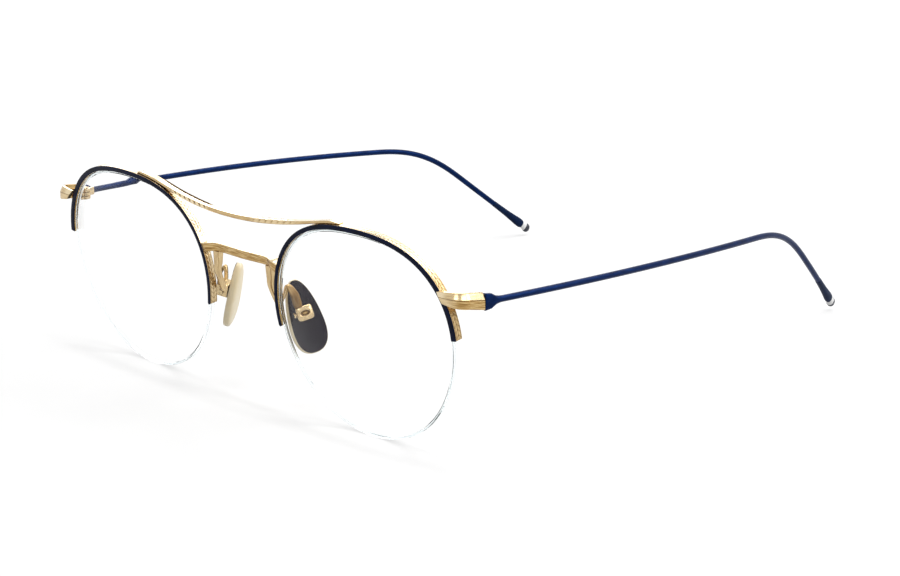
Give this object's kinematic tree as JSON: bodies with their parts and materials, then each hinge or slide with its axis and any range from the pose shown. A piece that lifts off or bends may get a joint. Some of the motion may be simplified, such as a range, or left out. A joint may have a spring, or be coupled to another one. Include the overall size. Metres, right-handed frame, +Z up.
{
  "type": "eyeglasses",
  "caption": "Half-rim eyeglasses with a brow bar over a low bridge, clear lenses held by a nylon cord, rocking nose pads and folding wire temples.",
  "frame": {"origin": "centre of the bounding box's base, level with the lower edges of the lenses and the temple tips", "axes": "+X to the wearer's left, +Y from the lenses back to the ears, +Z up"},
  "size_m": [0.1304, 0.1472, 0.0464],
  "materials": {
    "gold": "polished gold plating",
    "enamel": "glossy enamel",
    "navy": "glossy lacquer",
    "tip": "satin",
    "band": "satin",
    "cap": "satin",
    "lens": "polished",
    "nylon": "smooth",
    "ivory": "satin",
    "slate": "satin"
  },
  "bodies": {
    "front": {"brow_bar": "gold", "bridge": "gold", "left_rim": "gold", "left_rim_enamel": "enamel", "left_rim_liner": "nylon", "left_lens": "lens", "left_lens_cord": "nylon", "left_endpiece": "gold", "left_hinge_front": "gold", "left_hinge_screw": "gold", "left_pad_arm": "gold", "left_pad_box": "gold", "left_pad_screw": "gold", "right_rim": "gold", "right_rim_enamel": "enamel", "right_rim_liner": "nylon", "right_lens": "lens", "right_lens_cord": "nylon", "right_endpiece": "gold", "right_hinge_front": "gold", "right_hinge_screw": "gold", "right_pad_arm": "gold", "right_pad_box": "gold", "right_pad_screw": "gold"},
    "left_temple": {"left_hinge_temple": "gold", "left_temple": "navy", "left_temple_tip": "tip", "left_tip_band": "band", "left_tip_cap": "cap"},
    "right_temple": {"right_hinge_temple": "gold", "right_temple": "navy", "right_temple_tip": "tip", "right_tip_band": "band", "right_tip_cap": "cap"},
    "left_pad": {"left_pad": "ivory", "left_pad_plate": "slate"},
    "right_pad": {"right_pad": "ivory", "right_pad_plate": "slate"}
  },
  "joints": [
    {"name": "left_temple_hinge", "type": "hinge", "parent": "front", "child": "left_temple", "pos_m": [0.0611, -0.06304, 0.0339], "axis": [0, 0, 1], "range_deg": [0, 86]},
    {"name": "right_temple_hinge", "type": "hinge", "parent": "front", "child": "right_temple", "pos_m": [-0.0611, -0.06304, 0.0339], "axis": [0, 0, -1], "range_deg": [0, 82]},
    {"name": "left_pad_rock", "type": "hinge", "parent": "front", "child": "left_pad", "pos_m": [0.0132, -0.06408, 0.0215], "axis": [0.4864, 0.837, 0.2506], "range_deg": [-8, 8]},
    {"name": "right_pad_rock", "type": "hinge", "parent": "front", "child": "right_pad", "pos_m": [-0.0132, -0.06408, 0.0215], "axis": [0.4864, -0.837, -0.2506], "range_deg": [-8, 8]}
  ]
}
